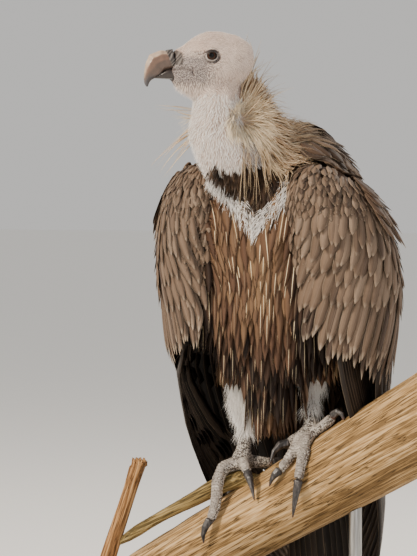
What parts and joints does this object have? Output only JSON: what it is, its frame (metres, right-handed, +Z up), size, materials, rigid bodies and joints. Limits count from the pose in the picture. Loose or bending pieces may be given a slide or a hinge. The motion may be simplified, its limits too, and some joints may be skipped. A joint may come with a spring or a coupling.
{
  "type": "griffon vulture",
  "caption": "Life-size griffon vulture with folded wings and pale ruff, head turned to its right, standing on a cut branch held by a flat display base.",
  "frame": {"origin": "middle of the underside of the display base", "axes": "+Z up; the bird's breast faces -Y and its left wing is on +X"},
  "size_m": [0.5532, 0.36, 0.8986],
  "materials": {
    "stand": "dark matt lacquer",
    "steel": "brushed rod",
    "bark": "weathered, peeled wood with a fine grain",
    "skin": "bird skin under the feathers",
    "feather": "feathers with pale shafts and edges",
    "horn": "horn of the bill",
    "claw": "dark horn of the claws",
    "scale": "scaly skin of the feet",
    "eye": "wet dark brown eye"
  },
  "bodies": {
    "root": {"stand_base": "stand", "stand_rod_1": "steel", "stand_rod_2": "steel", "perch_log": "bark", "perch_stub": "bark", "perch_shoot": "bark", "bill_upper": "horn", "bill_lower": "horn", "eye_left": "eye", "eye_right": "eye", "head": "skin", "wing_left_coverts": "feather", "wing_left_secondaries": "feather", "wing_left_primaries": "feather", "wing_right_coverts": "feather", "wing_right_secondaries": "feather", "wing_right_primaries": "feather", "neck": "skin", "ruff": "feather", "trunk": "feather", "tail": "feather", "thigh_right": "feather", "cuff_right": "feather", "shank_right": "scale", "foot_right": "scale", "claw_right_middle": "claw", "claw_right_inner": "claw", "claw_right_outer": "claw", "claw_right_hind": "claw", "thigh_left": "feather", "cuff_left": "feather", "shank_left": "scale", "foot_left": "scale", "claw_left_middle": "claw", "claw_left_inner": "claw", "claw_left_outer": "claw", "claw_left_hind": "claw"}
  },
  "joints": []
}
